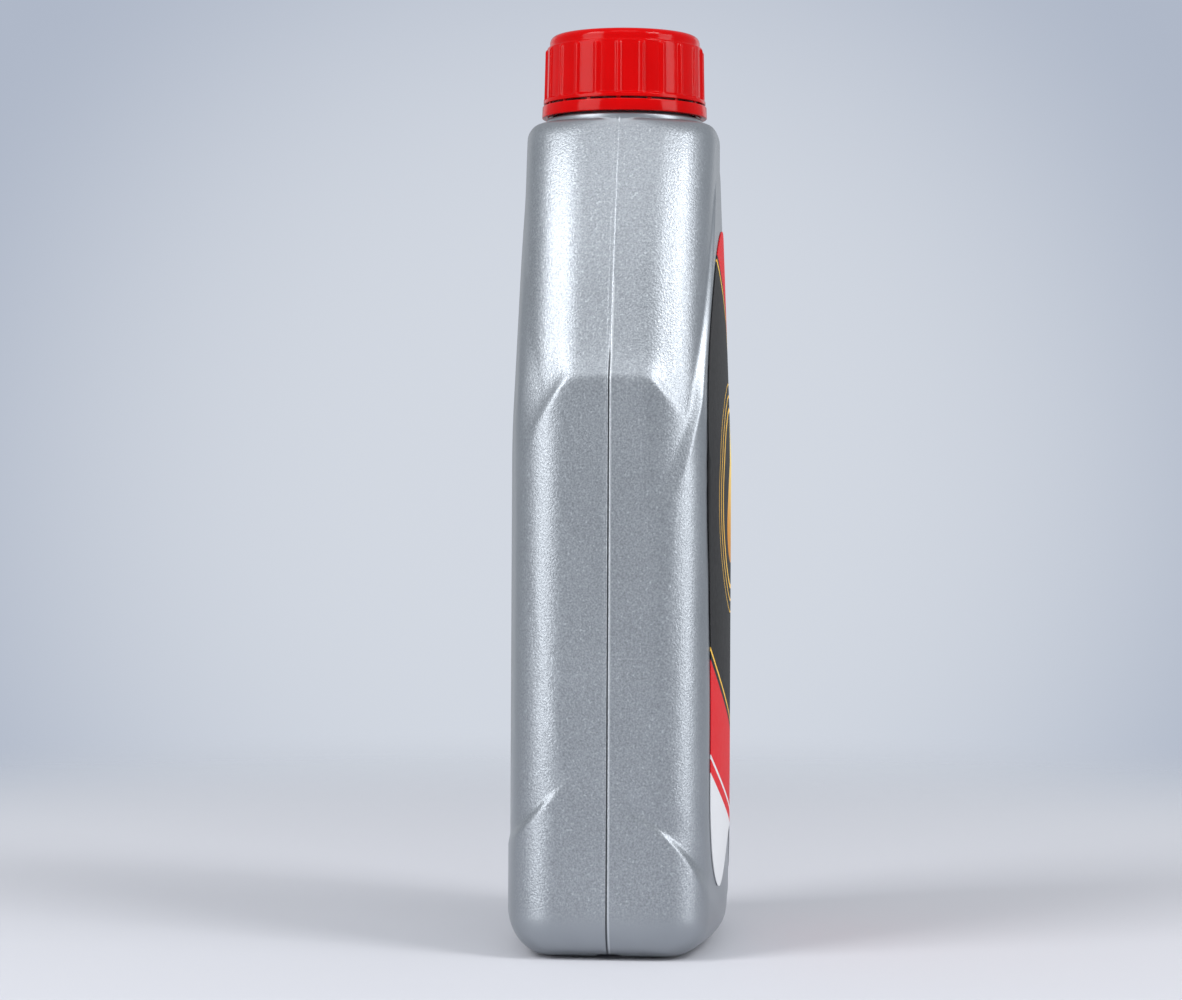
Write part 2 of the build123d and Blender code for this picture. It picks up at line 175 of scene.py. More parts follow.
def panel_distance(x, y, z, corner):
    """Distance outside the label panel, whose face leans inwards towards the top."""
    inwards = np.where(y > 0, BACK_TAPER_LEAN * (z - BACK_TAPER_Z), TAPER_LEAN * (z - TAPER_Z))
    lean = np.hypot(x, np.abs(y) - DEPTH / 2 + CROWN) - CROWN + inwards
    return soft_max(block_distance(x, y, corner), lean, PANEL_SOFT)


def tongue_distance(x, y, z):
    """Distance outside the panel's outline, seen from the front: an arch on two straights a side."""
    x, up = np.abs(x), z - ARCH_TOP_Z + ARCH_R
    arch = np.hypot(x, up) - ARCH_R
    upper = x * math.cos(TONGUE_LEAN) + up * math.sin(TONGUE_LEAN) - ARCH_R
    lean = np.where(y > 0, BACK_LOW_LEAN, TONGUE_LOW_LEAN)
    lower = (x - TONGUE_KNEE[0]) * np.cos(lean) + (z - TONGUE_KNEE[1]) * np.sin(lean)
    return np.where(up > x * math.tan(TONGUE_LEAN), arch, soft_max(upper, lower, TONGUE_ROUND))


def foot_edge(y, z):
    """Distance below the foot's top edge, arched in front and straight behind; negative above it."""
    front = (1 - np.hypot(y / FOOT_FRONT_Y, z / FOOT_ARC_Z)) * FOOT_ARC_Z
    back = (FOOT_BACK_TOP - y - z) * math.sqrt(0.5)
    return np.where(y < 0, front, back)


def foot_reach(z, back):
    """How far from the parting line the foot's top edge lies at a height."""
    if back:
        return FOOT_BACK_TOP - z
    return FOOT_FRONT_Y * math.sqrt(1 - min(z / FOOT_ARC_Z, 1.0) ** 2)


def seam_depth(y, z):
    """Parting line of the mould: a groove with raised lips, hardly a groove above the crease."""
    depth = SEAM_DEPTH - SEAM_LOSS * smooth_step(z, SEAM_FADE_LOW, SEAM_FADE_HIGH)
    groove = np.exp(-(y / SEAM_HALF) ** 2)
    lips = np.exp(-((np.abs(y) - LIP_Y) / LIP_HALF) ** 2)
    return depth * groove - SKIN * lips


def base_inset(z, radius, low):
    """How far a rounded lower edge lies back at a height."""
    over = np.clip(radius - (z - low), 0, radius)
    return radius - np.sqrt(radius ** 2 - over ** 2)


def body_distance(x, y, z):
    """Distance outside the moulded body: flanks, proud panels, foot, neck ring and parting line."""
    block = np.where(y > 0, block_distance(x, y, CORNER), block_distance(x, y, FLANK_CORNER))
    crease_soft = CREASE_SOFT + (CORNER_SOFT - CREASE_SOFT) * smooth_step(np.abs(y), *CORNER_SOFT_Y)
    flank = soft_max(block, shoulder_distance(x, y, z), crease_soft)
    panel = panel_distance(x, y, z, CORNER)
    soft = np.where(y > 0, BACK_STEP_SOFT, STEP_SOFT)
    body = flank + smooth_step(-tongue_distance(x, y, z), -soft, soft) * (panel - flank)
    edge = foot_edge(y, z)
    along = np.where(y < 0, FRONT_GROOVE * smooth_step(-y, *FRONT_GROOVE_Y),
                     BACK_GROOVE * smooth_step(y, *BACK_GROOVE_Y))
    valley = along * smooth_step(edge, -GROOVE_WIDE, -FOOT_SOFT) * (np.abs(x) > NARROW_SIDE_X)
    rim = base_inset(SHOULDER_Z - z, RIM_ROUND, 0.0)
    body = body + base_inset(z, BODY_ROUND, 0.0) + valley + rim
    foot = plan_distance(x, y, WIDTH / 2, DEPTH / 2 + FOOT_PROUD, FOOT_CORNER, CROWN)
    foot = foot + base_inset(z, BASE_ROUND, 0.0)
    foot = foot + UNDERCUT * (1 - smooth_step(z, 0.4 * UNDERCUT_Z, UNDERCUT_Z))
    body = body + smooth_step(edge, -FOOT_SOFT, FOOT_SOFT) * (foot - body)
    neck_ring = np.hypot(x, y) - RING_R
    body = np.where(z > SHOULDER_Z - RING_BLEND_H, soft_min(body, neck_ring, RING_SOFT), body)
    return body + SKIN + seam_depth(y, z)


def inside_distance(x, y, z):
    """Distance outside the liquid's space, a wall further in."""
    panel = panel_distance(x, y, z, FLANK_CORNER)
    space = soft_max(panel, shoulder_distance(x, y, z + WALL), CREASE_SOFT)
    return space + WALL + base_inset(z, BASE_ROUND - WALL, FLOOR)


def round_ring(angles, radius, z):
    return np.stack([radius * np.cos(angles), radius * np.sin(angles), np.full_like(angles, z)], 1)


def ring(angles, z, distance):
    """Points where level z meets a form."""
    near, far = np.full_like(angles, NEAREST_R), np.full_like(angles, FARTHEST_R)
    for _ in range(HALVINGS):
        middle = (near + far) / 2
        out = distance(middle * np.cos(angles), middle * np.sin(angles), z) > 0
        far = np.where(out, middle, far)
        near = np.where(out, near, middle)
    return round_ring(angles, far, z)


def helix(angles, z, sign):
    """Share of the thread's height; the cap's thread, of sign -1, lies half a pitch above the neck's."""
    height = np.zeros_like(angles)
    for turn in range(math.ceil(THREAD_TURNS) + 1):
        along = turn + angles / FULL_TURN
        off = np.abs(z - THREAD_LOW_Z - THREAD_PITCH * (along + (0.5 if sign < 0 else 0)))
        run_out = smooth_step(along, THREAD_TURNS - THREAD_RUN_IN, THREAD_TURNS)
        ends = smooth_step(along, 0.0, THREAD_RUN_IN) * (1 - run_out)
        height = np.maximum(height, ends * (1 - smooth_step(off, *THREAD_FLANK)))
    return height


def base_height(x, y):
    """Hollow of the base, with the pinch-off relief and its scar."""
    inside = np.minimum(PUSH_UP_HALF[0] - np.abs(x), PUSH_UP_HALF[1] - np.abs(y))
    corner = PUSH_UP_CORNER - np.hypot(np.maximum(np.abs(x) - PUSH_UP_HALF[0] + PUSH_UP_CORNER, 0),
                                       np.maximum(np.abs(y) - PUSH_UP_HALF[1] + PUSH_UP_CORNER, 0))
    hollow = PUSH_UP * smooth_step(np.minimum(inside, corner), 0.0, PUSH_UP_EDGE)
    pinch = 1 - smooth_step(np.abs(y), PINCH_HALF - PINCH_EDGE, PINCH_HALF)
    relief = PINCH_H * pinch * smooth_step(np.abs(x), *PINCH_X)
    scar = SCAR_H * np.exp(-(y / SCAR_HALF) ** 2) * (1 - smooth_step(np.abs(x), *SCAR_X))
    return np.maximum(hollow - scar, relief)


def tongue_reach(z, back):
    """How far from the middle the panel's edge lies at a height."""
    up = z - ARCH_TOP_Z + ARCH_R
    arch = math.sqrt(max(ARCH_R ** 2 - up ** 2, 0.0))
    upper = (ARCH_R - up * math.sin(TONGUE_LEAN)) / math.cos(TONGUE_LEAN)
    low_lean = BACK_LOW_LEAN if back else TONGUE_LOW_LEAN
    lower = TONGUE_KNEE[0] + (TONGUE_KNEE[1] - z) * math.tan(low_lean)
    straight = float(soft_min(np.float64(upper), np.float64(lower), TONGUE_ROUND))
    place = arch if up > ARCH_R * math.sin(TONGUE_LEAN) else straight
    return min(max(place, LEAST_REACH), WIDTH / 2 - SIDE_MARGIN)


def edge_place(x, y, run, z, back):
    """How far round a quarter the moulded edge lies: the panel's edge, then down to the foot's arc."""
    def at_x(place):
        return np.interp(-place, -x, run)

    def at_y(place):
        return np.interp(place, y, run)

    if z >= PANEL_COLUMNS_Z:
        return at_x(tongue_reach(z, back))
    lower_z = FOOT_BACK_TOP - FOOT_COLUMNS_Y if back else FOOT_ARC_Z - FOOT_TOP_MARGIN
    if z <= lower_z:
        return at_y(min(max(foot_reach(z, back), FOOT_COLUMNS_Y), y.max() - FACE_MARGIN))
    share = (z - lower_z) / (PANEL_COLUMNS_Z - lower_z)
    start = at_y(FOOT_COLUMNS_Y)
    return start + share * (at_x(tongue_reach(PANEL_COLUMNS_Z, back)) - start)


def quarter_angles(z, back):
    """Angles of a quarter's columns: close together at the parting line and at the moulded edge."""
    turn = FINE_TURN if back else -FINE_TURN
    points = np.abs(ring(turn, z, body_distance))
    x, y = points[:, 0], np.maximum.accumulate(points[:, 1])
    run = np.concatenate([[0.0], np.cumsum(np.hypot(np.diff(points[:, 0]), np.diff(points[:, 1])))])
    seam = np.interp(SEAM_STEPS, y, run)
    edge = edge_place(np.minimum.accumulate(x), y, run, z, back) + np.array(EDGE_STEPS)
    flank = np.linspace(seam[-1], edge[0], FLANK_COLUMNS)[1:-1]
    face = np.linspace(edge[-1], run[-1], FACE_COLUMNS)[1:]
    return np.interp(np.concatenate([seam, flank, edge, face]), run, FINE_TURN)


def column_angles(z):
    """Angles of all the columns at a height, once round from +X."""
    back, front = quarter_angles(z, True), quarter_angles(z, False)
    behind = [back, math.pi - back[-2::-1]]
    return np.concatenate([*behind, math.pi + front[1:], FULL_TURN - front[-2::-1]])


def body_rings():
    """Every ring of the bottle, from the middle of its base over the mouth to the inside floor."""
    def outside(z):
        return ring(column_angles(z), z, body_distance)

    flat = outside(0.0)
    rings = []
    for share in np.concatenate([[0.0], np.linspace(0.12, 0.6, 6), np.linspace(0.66, 0.98, 14)]):
        level = flat * share
        level[:, 2] = base_height(level[:, 0], level[:, 1]) * smooth_step(1 - share, 0.0, 0.04)
        rings.append(level)
    for turn in np.linspace(0, math.pi / 2, 15):
        level = outside(BASE_ROUND * (1 - math.cos(turn)))
        level[:, 2] = np.maximum(level[:, 2], base_height(level[:, 0], level[:, 1]))
        rings.append(level)
    levels = np.concatenate([
        np.arange(BASE_ROUND + 0.8, 50, 0.9), np.arange(50, 112, 4.0), np.arange(112, 148, 1.2),
        np.arange(148, 162, 0.8), np.arange(162, 206, 1.4),
        np.linspace(206.2, SHOULDER_Z - RING_BLEND_H - 0.4, 16),
        SHOULDER_Z - RING_BLEND_H * np.linspace(1, 0, 16) ** 2])
    rings += [outside(z) for z in levels]
    angles = column_angles(SHOULDER_Z)
    neck_profile = [
        (RING_R, SHOULDER_Z + 0.15), (RING_R, SHOULDER_Z + 0.5), (RING_R, RING_TOP_Z - 0.6),
        (RING_R - 0.18, RING_TOP_Z - 0.18), (RING_R - 0.6, RING_TOP_Z),
        (NECK_R + 0.3, RING_TOP_Z), (NECK_R, RING_TOP_Z + 0.3), (NECK_R, BEAD_Z - 0.05),
        (NECK_R + 0.05, BEAD_Z), (BEAD_R - 0.1, BEAD_Z), (BEAD_R, BEAD_Z + 0.1), (BEAD_R, BEAD_Z + 0.45),
        (BEAD_R - 0.12, BEAD_Z + 0.56), (NECK_R + 0.1, BEAD_Z + 1.36), (NECK_R, BEAD_Z + 1.5)]
    rings += [round_ring(angles, r, z) for r, z in neck_profile]
    for z in np.arange(THREAD_LOW_Z - 1.2, MOUTH_Z - 0.7, 0.3):
        rings.append(round_ring(angles, NECK_R + THREAD_PROUD * helix(angles, z, 1), z))
    mouth = [(NECK_R, MOUTH_Z - 0.6), (NECK_R - 0.18, MOUTH_Z - 0.18), (NECK_R - 0.6, MOUTH_Z),
             (BORE_R + 0.3, MOUTH_Z), (BORE_R, MOUTH_Z - 0.3), (BORE_R, 240.0), (BORE_R, 232.0),
             (BORE_R, 226.0), (BORE_R, SHOULDER_Z - 1.6), (BORE_R + 0.8, SHOULDER_Z - 2.2)]
    rings += [round_ring(angles, r, z) for r, z in mouth]
    for z in np.concatenate([np.linspace(SHOULDER_Z - 3.4, 205, 8), np.linspace(200, 30, 12)]):
        rings.append(ring(column_angles(z), z, inside_distance))
    for turn in np.linspace(math.pi / 2, 0, 7):
        z = FLOOR + (BASE_ROUND - WALL) * (1 - math.cos(turn))
        rings.append(ring(column_angles(z), z, inside_distance))
    floor = rings[-1]
    for share in (0.9, 0.8, 0.72, 0.64, 0.5, 0.3, 0.0):
        level = floor * share
        level[:, 2] = FLOOR + PUSH_UP * smooth_step(1 - share, 0.1, 0.36)
        rings.append(level)
    return rings


def make_piece(name, bm, body, material, node):
    """Turns a finished bmesh, in millimetres, into a piece that rides on a body."""
    bmesh.ops.scale(bm, vec=(MM, MM, MM), verts=bm.verts)
    mesh = bpy.data.meshes.new(name)
    bm.to_mesh(mesh)
    bm.free()
    mesh.shade_smooth()
    mesh.set_sharp_from_angle(angle=SHARP_ANGLE)
    mesh.materials.append(material)
    piece = bpy.data.objects.new(name, mesh)
    bpy.context.scene.collection.objects.link(piece)
    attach(piece, body)
    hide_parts(node)


def grid_of_rings(rings):
    """A closed skin over rings of points: a grid, rolled up on the points."""
    points = np.stack(rings)
    rows, columns = points.shape[0] - 1, points.shape[1] - 1
    bm = bmesh.new()
    bmesh.ops.create_grid(bm, x_segments=columns, y_segments=rows, size=0.5)
    for vert in bm.verts:
        column = round((vert.co.x + 0.5) * columns)
        row = round((vert.co.y + 0.5) * rows)
        vert.co = points[row, column]
    bmesh.ops.remove_doubles(bm, verts=bm.verts, dist=1e-4)
    bmesh.ops.recalc_face_normals(bm, faces=bm.faces)
    return bm


def spun(profile, steps, soft, closed=True, sweep=FULL_TURN):
    """A profile of (radius, height) points, its corners rounded, turned round the axis.

    The two ends of an open profile lie on the axis, where their copies merge into closed poles.
    """
    bm = bmesh.new()
    verts = [bm.verts.new((r, 0, z)) for r, z in profile]
    pairs = list(zip(verts, verts[1:])) + ([(verts[-1], verts[0])] if closed else [])
    for a, b in pairs:
        bm.edges.new((a, b))
    corners = [v for v in verts if v.calc_edge_angle(0.0) > STRAIGHT_ANGLE]
    bmesh.ops.bevel(bm, geom=corners, offset=soft, offset_type="OFFSET", segments=3, profile=0.5,
                    affect="VERTICES", material=-1, clamp_overlap=True)
    bmesh.ops.spin(bm, geom=bm.edges[:] + bm.verts[:], cent=(0, 0, 0), axis=(0, 0, 1), dvec=(0, 0, 0),
                   angle=sweep, steps=steps, use_merge=sweep == FULL_TURN, use_duplicate=False)
    bmesh.ops.remove_doubles(bm, verts=bm.verts, dist=1e-4)
    bmesh.ops.recalc_face_normals(bm, faces=bm.faces)
    return bm


class Value:
    """A shader socket on which Python's operators add Math nodes."""

    def __init__(self, paint, socket):
        self.paint, self.socket = paint, socket

    def maths(self, operation, *others):
        inputs = {0: self}
        for place, other in enumerate(others, 1):
            inputs[place] = other
        return self.paint.node("ShaderNodeMath", {"operation": operation}, inputs)

    def __add__(self, other):
        return self.maths("ADD", other)

    __radd__ = __add__

    def __sub__(self, other):
        return self.maths("SUBTRACT", other)

    def __rsub__(self, other):
        return self.paint.node("ShaderNodeMath", {"operation": "SUBTRACT"}, {0: other, 1: self})

    def __mul__(self, other):
        return self.maths("MULTIPLY", other)

    __rmul__ = __mul__

    def __truediv__(self, other):
        return self.maths("DIVIDE", other)

    def __pow__(self, other):
        return self.maths("POWER", other)

    def __abs__(self):
        return self.maths("ABSOLUTE")

    def least(self, other):
        return self.maths("MINIMUM", other)

    def most(self, other):
        return self.maths("MAXIMUM", other)

    def ramp(self, low, high):
        """0 below low, 1 above high, smooth between; the other way round if low is the larger."""
        ends = {1: low, 2: high, 3: 0.0, 4: 1.0} if low < high else {1: high, 2: low, 3: 1.0, 4: 0.0}
        return self.paint.node("ShaderNodeMapRange", {"interpolation_type": "SMOOTHSTEP"},
                               {0: self, **ends})


class Paint:
    """A material whose nodes are written as expressions."""

    def __init__(self, name):
        self.material = bpy.data.materials.new(name)
        self.material.use_nodes = True
        self.tree = self.material.node_tree
        self.shader = self.tree.nodes["Principled BSDF"]

    def node(self, kind, settings, inputs, output=0):
        made = self.tree.nodes.new(kind)
        for key, value in settings.items():
            setattr(made, key, value)
        for key, value in inputs.items():
            self.feed(made.inputs[key], value)
        return Value(self, made.outputs[output])

    def feed(self, socket, value):
        if isinstance(value, Value):
            self.tree.links.new(value.socket, socket)
        else:
            socket.default_value = value

    def place(self):
        """Object coordinates in millimetres: the point, and its x, y and z."""
        coordinates = self.tree.nodes.new("ShaderNodeTexCoord")
        point = self.node("ShaderNodeVectorMath", {"operation": "SCALE"},
                          {0: Value(self, coordinates.outputs["Object"]), "Scale": 1 / MM})
        split = self.tree.nodes.new("ShaderNodeSeparateXYZ")
        self.feed(split.inputs[0], point)
        return point, *(Value(self, split.outputs[i]) for i in range(3))

    def noise(self, point, scale, detail):
        return self.node("ShaderNodeTexNoise", {}, {"Vector": point, "Scale": scale, "Detail": detail})

    def mix(self, share, first, second):
        return self.node("ShaderNodeMix", {"data_type": "RGBA"}, {0: share, 6: first, 7: second},
                         output=2)

    def bump(self, height, distance, strength):
        return self.node("ShaderNodeBump", {},
                         {"Height": height, "Distance": distance, "Strength": strength})

    def finish(self, **sockets):
        for key, value in sockets.items():
            self.feed(self.shader.inputs[key.replace("_", " ")], value)
        return self.material


def colour(red, green, blue):
    return (red, green, blue, 1.0)


def silver_plastic():
    """Silver-pigmented plastic: spark grain on the narrow sides, smoother corners, panels and foot;
    painted shade in the parting line's groove and a painted highlight along its front lip.
    """
    paint = Paint("silver_plastic")
    point, x, y, z = paint.place()
    side = abs(y).ramp(27.0, 20.0) * z.ramp(8.0, 16.0) * z.ramp(225.0, 222.0)
    grain = paint.noise(point, 1.9, 1.0)
    fleck = paint.noise(point, 1.2, 0.0).ramp(0.66, 0.84)
    cloud = paint.noise(point, 0.05, 2.0)
    bright = ((grain - 0.5) * 0.75 + fleck * 0.28) * side + (cloud - 0.5) * 0.10 + 0.33
    base = paint.mix(bright, colour(0.180, 0.194, 0.214), colour(0.545, 0.585, 0.625))
    flank = abs(x).ramp(NARROW_SIDE_X, NARROW_SIDE_X + 2)
    # painted shade: the parting line's groove is darkened on the narrow sides below the crease
    line = abs(y).ramp(0.30, 0.10) * z.ramp(SEAM_FADE_HIGH, SEAM_FADE_LOW) * flank
    base = paint.mix(line * 0.7, base, colour(0.05, 0.053, 0.058))
    # painted highlight: a lighter line along the front lip of the parting line, on the narrow sides
    front_lip_painted_highlight = abs(y + 0.62).ramp(0.32, 0.12) * flank
    base = paint.mix(front_lip_painted_highlight * 0.5, base, colour(0.62, 0.65, 0.68))
    rough = 0.36 + side * 0.05 + (cloud - 0.5) * 0.08
    return paint.finish(Base_Color=base, Roughness=rough, Metallic=0.75, IOR=1.5,
                        Normal=paint.bump(grain * side, 0.0001, 0.85))


def red_plastic():
    """Glossy red moulding with a faint flow mottle."""
    paint = Paint("red_plastic")
    point, *_ = paint.place()
    cloud = paint.noise(point, 0.12, 3.0)
    base = paint.mix(cloud, colour(0.43, 0.0, 0.0002), colour(0.51, 0.0, 0.0004))
    ripple = paint.noise(point, 0.45, 2.0)
    return paint.finish(Base_Color=base, Roughness=0.12 + (cloud - 0.5) * 0.06, Specular_IOR_Level=0.13,
                        Normal=paint.bump(ripple, 0.0001, 0.18))


def white_foam():
    """Fine closed-cell foam."""
    paint = Paint("white_foam")
    point, *_ = paint.place()
    cells = paint.noise(point, 2.2, 2.0)
    base = paint.mix(cells, colour(0.70, 0.70, 0.67), colour(0.84, 0.84, 0.82))
    return paint.finish(Base_Color=base, Roughness=0.8, Normal=paint.bump(cells, 0.0002, 0.5))


def label_print():
    """Printed film: black field, red sweeps, a golden drop with rings, and a white foot."""
    paint = Paint("label_print")
    point, x, _, z = paint.place()
    black, red, gold, white = (colour(0.005, 0.005, 0.006), colour(0.60, 0.006, 0.012),
                               colour(0.85, 0.50, 0.06), colour(0.64, 0.65, 0.67))

    def from_centre(cx, cz):
        across, up = x - cx, z - cz
        return (across * across + up * up) ** 0.5

    def band(distance, low, high):
        edge = 0.15
        return distance.ramp(low - edge, low + edge) * distance.ramp(high + edge, high - edge)

    print_colour = paint.mix(z.ramp(60, 180), black, colour(0.011, 0.011, 0.012))
    rings = from_centre(4.0, 122.0)
    for inner, outer in ((24.0, 25.2), (28.0, 28.7), (31.5, 31.9)):
        print_colour = paint.mix(band(rings, inner, outer), print_colour, gold)
    fall = ((146.0 - z) / 42.0).most(0.0).least(1.0)
    width = (fall ** 3 * (1 - fall)) ** 0.5 * (15.5 / 0.3248)
    shine = paint.mix((z + x * 0.6).ramp(104, 146), colour(0.55, 0.22, 0.012), colour(0.98, 0.74, 0.20))
    drop = (width - abs(x - 4.0)).ramp(0.1, 0.4)
    print_colour = paint.mix(drop, print_colour, shine)
    top_sweep = from_centre(-86.0, 74.0)
    print_colour = paint.mix(top_sweep.ramp(132.0, 132.4), print_colour, red)
    print_colour = paint.mix(band(top_sweep, 129.6, 130.6), print_colour, gold)
    low_sweep = from_centre(46.0, 196.0)
    print_colour = paint.mix(low_sweep.ramp(144.0, 144.4), print_colour, red)
    print_colour = paint.mix(band(low_sweep, 141.6, 142.4), print_colour, gold)
    print_colour = paint.mix(band(low_sweep, 165.0, 166.0), print_colour, white)
    print_colour = paint.mix(low_sweep.ramp(169.0, 169.4), print_colour, white)
    fibre = paint.noise(point, 0.6, 2.0)
    return paint.finish(Base_Color=print_colour, Roughness=0.5 + (fibre - 0.5) * 0.1,
                        Specular_IOR_Level=0.08, Normal=paint.bump(fibre, 0.0001, 0.08))


def build_bottle(material):
    """Hollow bottle with its neck, as one skin."""
    bm = grid_of_rings(body_rings())
    make_piece("bottle_skin", bm, "bottle", material, "bottle")


def rib_height(angle, z):
    """How far a rib stands out of the skirt at an angle from the rib's middle and a height."""
    across = angle * CAP_R
    past = max(z - (CAP_TOP_Z - CROWN_RIM_H - RIB_TOP_GAP) + RIB_R, 0.0)
    if across >= RIB_R or past >= RIB_R:
        return 0.0
    both_rounds = math.sqrt(RIB_R ** 2 - across ** 2) + math.sqrt(RIB_R ** 2 - past ** 2)
    return max(both_rounds - 2 * RIB_R + RIB_PROUD, 0)


def build_cap(material):
    """Cap: one rib's sector, turned from a rounded profile and repeated, with a thread in its bore."""
    panel_z, step_z, dish_z = MOUTH_Z + LINER_T, CAP_TOP_Z - CROWN_RIM_H, CAP_TOP_Z - CAP_DISH
    top_r, rim_r = CAP_R - CAP_DRAFT, CAP_R + RIB_PROUD + CAP_RIM_PROUD
    skirt = [(top_r + CAP_DRAFT * share, step_z + (CAP_LOW_Z + CAP_RIM_H - step_z) * share)
             for share in [0.0, *np.linspace(0.0125, 0.17, 30), *np.linspace(0.2, 1, 12)]]
    crown = [(CROWN_RIM_R - CROWN_ROUND * (1 - math.sin(turn)),
              CAP_TOP_Z - CROWN_ROUND * (1 - math.cos(turn))) for turn in np.linspace(0, math.pi / 2, 8)]
    bore = [(CAP_BORE_R, z) for z in np.linspace(CAP_LOW_Z + 0.4, MOUTH_Z - 1.7, 73)]
    seat_r = LINER_R + LINER_PLAY
    profile = [(0.0, dish_z), (CROWN_RIM_R - 1.1 * CROWN_RIM_W, dish_z),
               (CROWN_RIM_R - CROWN_RIM_W, CAP_TOP_Z), *crown, (CROWN_RIM_R, step_z + 0.2), *skirt,
               (rim_r, CAP_LOW_Z + CAP_RIM_EDGE), (rim_r, CAP_LOW_Z), (CAP_BORE_R, CAP_LOW_Z), *bore,
               (seat_r, MOUTH_Z - 1.2), (seat_r, panel_z), (0.0, panel_z)]
    pitch = FULL_TURN / RIB_COUNT
    bm = spun(profile, RIB_STEPS, CAP_SOFT, closed=False, sweep=pitch)
    for vert in bm.verts:
        radius, angle = math.hypot(vert.co.x, vert.co.y), math.atan2(vert.co.y, vert.co.x)
        if radius > CAP_R - 0.8 and CAP_LOW_Z + 0.5 < vert.co.z < step_z + 0.1:
            grown = radius + rib_height(min(abs(angle), pitch - angle), vert.co.z)
            vert.co.xy *= min(grown, max(rim_r, radius)) / radius
    bmesh.ops.spin(bm, geom=bm.verts[:] + bm.edges[:] + bm.faces[:], cent=(0, 0, 0), axis=(0, 0, 1),
                   dvec=(0, 0, 0), angle=FULL_TURN - pitch, steps=RIB_COUNT - 1, use_duplicate=True)
    bmesh.ops.remove_doubles(bm, verts=bm.verts, dist=1e-3)
    bmesh.ops.recalc_face_normals(bm, faces=bm.faces)
    bored = [v for v in bm.verts if abs(v.co.xy.length - CAP_BORE_R) < 0.02 and v.co.z > CAP_LOW_Z + 0.6]
    angles = np.array([math.atan2(v.co.y, v.co.x) % FULL_TURN for v in bored])
    heights = helix(angles, np.array([v.co.z for v in bored]), -1)
    for vert, height in zip(bored, heights):
        vert.co.xy *= 1 - CAP_THREAD * height / CAP_BORE_R
    make_piece("cap_skin", bm, "cap", material, "cap")


def build_band(material):
    """Tamper band with a rounded section, its catch under the bead, and the bridges to the cap."""
    profile = [(BAND_BORE_R, BAND_TOP_Z), (BAND_BORE_R, BAND_LOW_Z + 1.5),
               (BAND_CATCH_R, BAND_LOW_Z + 1.4), (BAND_CATCH_R + 0.2, BAND_LOW_Z + 0.6),
               (BAND_BORE_R - 0.3, BAND_LOW_Z), (BAND_R, BAND_LOW_Z), (BAND_R - 0.1, BAND_TOP_Z)]
    bm = spun(profile, 192, BAND_SOFT)
    top, low = CAP_LOW_Z - BRIDGE_GAP, BAND_TOP_Z - BRIDGE_ROOT
    for index in range(BRIDGE_COUNT):
        made = bmesh.ops.create_cube(bm, size=1.0)["verts"]
        bmesh.ops.scale(bm, vec=(CAP_R - BAND_BORE_R, BRIDGE_W, top - low), verts=made)
        bmesh.ops.translate(bm, vec=((CAP_R + BAND_BORE_R) / 2, 0, (top + low) / 2), verts=made)
        edges = {e for v in made for e in v.link_edges}
        upright = [e for e in edges if abs(e.verts[0].co.z - e.verts[1].co.z) > (top - low) / 2]
        rounded = bmesh.ops.bevel(bm, geom=upright, offset=BRIDGE_ROUND, segments=2, profile=0.5,
                                  affect="EDGES", material=-1)
        verts = list({v for f in rounded["faces"] for v in f.verts} | {v for v in made if v.is_valid})
        turn = FULL_TURN * index / BRIDGE_COUNT
        for vert in verts:
            vert.co.xy = (vert.co.x * math.cos(turn) - vert.co.y * math.sin(turn),
                          vert.co.x * math.sin(turn) + vert.co.y * math.cos(turn))
    make_piece("tamper_band_skin", bm, "bottle", material, "tamper_band")


def build_liner(material):
    """Foam disc between the mouth and the cap."""
    low, high = MOUTH_Z, MOUTH_Z + LINER_T
    bm = spun([(0.0, low), (LINER_R, low), (LINER_R, high), (0.0, high)], 96, LINER_SOFT, closed=False)
    make_piece("cap_liner_skin", bm, "liner", material, "cap_liner")


def floor_finish():
    """Pale sweep that fades into the backdrop away from the object."""
    paint = Paint("studio_floor")
    _, x, y, _ = paint.place()
    away = (x * x + y * y) ** 0.5
    tone = paint.mix(away.ramp(100.0, 900.0), colour(0.585, 0.59, 0.63), colour(0.64, 0.665, 0.715))
    return paint.finish(Base_Color=tone, Roughness=0.7, Alpha=away.ramp(800.0, 330.0))


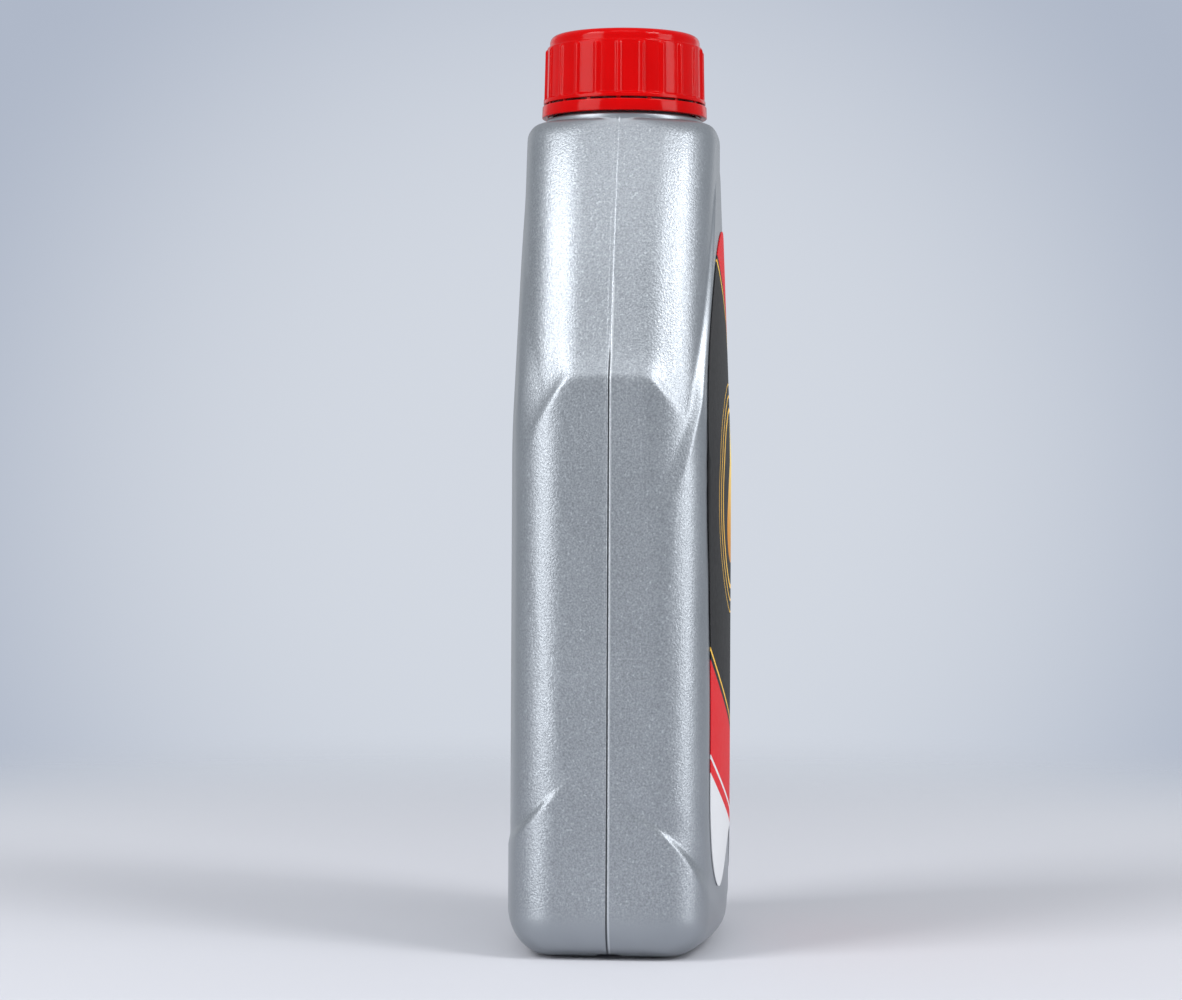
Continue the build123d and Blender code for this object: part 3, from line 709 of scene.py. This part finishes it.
def build_backdrop(towards):
    """Backdrop tone with a painted pool of light behind the object, and a dimmer even room for the
    light.
    """
    world = bpy.data.worlds.new("studio")
    world.use_nodes = True
    nodes, links = world.node_tree.nodes, world.node_tree.links
    place = nodes.new("ShaderNodeTexCoord")
    angle = nodes.new("ShaderNodeVectorMath")
    angle.operation = "DOT_PRODUCT"
    angle.inputs[1].default_value = towards
    links.new(place.outputs["Generated"], angle.inputs[0])
    # painted pool of light: the backdrop is palest within 13 degrees of the direction behind the object
    backdrop_light_pool = nodes.new("ShaderNodeMapRange")
    backdrop_light_pool.interpolation_type = "SMOOTHSTEP"
    backdrop_light_pool.inputs["From Min"].default_value = math.cos(math.radians(13))
    backdrop_light_pool.inputs["From Max"].default_value = 1.0
    links.new(angle.outputs["Value"], backdrop_light_pool.inputs["Value"])
    tone = nodes.new("ShaderNodeMix")
    tone.data_type = "RGBA"
    tone.inputs[6].default_value = (0.43, 0.48, 0.58, 1)
    tone.inputs[7].default_value = (0.65, 0.69, 0.76, 1)
    links.new(backdrop_light_pool.outputs[0], tone.inputs[0])
    shown = nodes["Background"]
    links.new(tone.outputs[2], shown.inputs["Color"])
    room = nodes.new("ShaderNodeBackground")
    room.inputs["Color"].default_value = (0.50, 0.53, 0.57, 1)
    room.inputs["Strength"].default_value = 0.80
    path = nodes.new("ShaderNodeLightPath")
    both = nodes.new("ShaderNodeMixShader")
    links.new(path.outputs["Is Camera Ray"], both.inputs[0])
    links.new(room.outputs[0], both.inputs[1])
    links.new(shown.outputs[0], both.inputs[2])
    links.new(both.outputs[0], nodes["World Output"].inputs["Surface"])
    bpy.context.scene.world = world


def build_studio():
    """Floor, backdrop, soft boxes and the camera at the photograph's place."""
    bm = bmesh.new()
    bmesh.ops.create_circle(bm, cap_ends=True, segments=96, radius=1.0)
    mesh = bpy.data.meshes.new("studio_floor")
    bm.to_mesh(mesh)
    bm.free()
    floor = bpy.data.objects.new("studio_floor", mesh)
    floor.location.z = -0.0002
    mesh.materials.append(floor_finish())
    bpy.context.scene.collection.objects.link(floor)
    turn = math.radians(VIEW_AZIMUTH)
    back = Vector((math.sin(turn), -math.cos(turn), 0))
    build_backdrop(-back)

    def soft_box(name, aside, rise, far, size, power):
        """A box aside degrees right of the camera and rise degrees up, facing the bottle."""
        around, up = math.radians(VIEW_AZIMUTH + aside), math.radians(rise)
        flat = math.cos(up)
        toward = Vector((math.sin(around) * flat, -math.cos(around) * flat, math.sin(up)))
        light = bpy.data.lights.new(name, "AREA")
        light.shape = "RECTANGLE"
        light.size, light.size_y = size
        light.energy = power
        lamp = bpy.data.objects.new(name, light)
        lamp.location = toward * far + Vector((0, 0, 0.12))
        lamp.rotation_euler = toward.to_track_quat("Z", "Y").to_euler()
        bpy.context.scene.collection.objects.link(lamp)

    soft_box("left_box", -52, 12, 1.5, (0.85, 1.1), 12)
    soft_box("right_box", 65, 12, 1.5, (0.6, 1.1), 10)
    soft_box("left_high_box", -54, 42, 1.5, (0.55, 0.5), 9)
    soft_box("right_high_box", 50, 42, 1.5, (0.40, 0.5), 9)
    soft_box("upper_box", 0, 58, 1.6, (0.9, 0.6), 3.2)
    soft_box("left_rim_box", -150, 8, 1.5, (0.5, 0.9), 0.5)
    soft_box("right_rim_box", 150, 8, 1.5, (0.5, 0.9), 0.7)

    camera = bpy.data.cameras.new("camera")
    camera.lens_unit = "MILLIMETERS"
    camera.sensor_fit = "HORIZONTAL"
    camera.sensor_width = SENSOR
    camera.lens = SENSOR * FOCAL_PX / IMAGE_WIDTH
    camera.clip_start = 0.01
    holder = bpy.data.objects.new("camera", camera)
    right = Vector((math.cos(turn), math.sin(turn), 0))
    holder.location = back * CAMERA_FAR - right * CAMERA_ASIDE + Vector((0, 0, CAMERA_HIGH))
    upright = Matrix.Rotation(turn, 3, "Z") @ Matrix.Rotation(math.pi / 2, 3, "X")
    holder.rotation_euler = (upright @ Matrix.Rotation(math.radians(CAMERA_ROLL), 3, "Z")).to_euler()
    bpy.context.scene.collection.objects.link(holder)
    bpy.context.scene.camera = holder
    bpy.context.scene.view_settings.view_transform = "Standard"


build_bottle(silver_plastic())
red = red_plastic()
build_cap(red)
build_band(red)
build_liner(white_foam())
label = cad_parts["front_label"]
label.data.materials.clear()
label.data.materials.append(label_print())
build_studio()
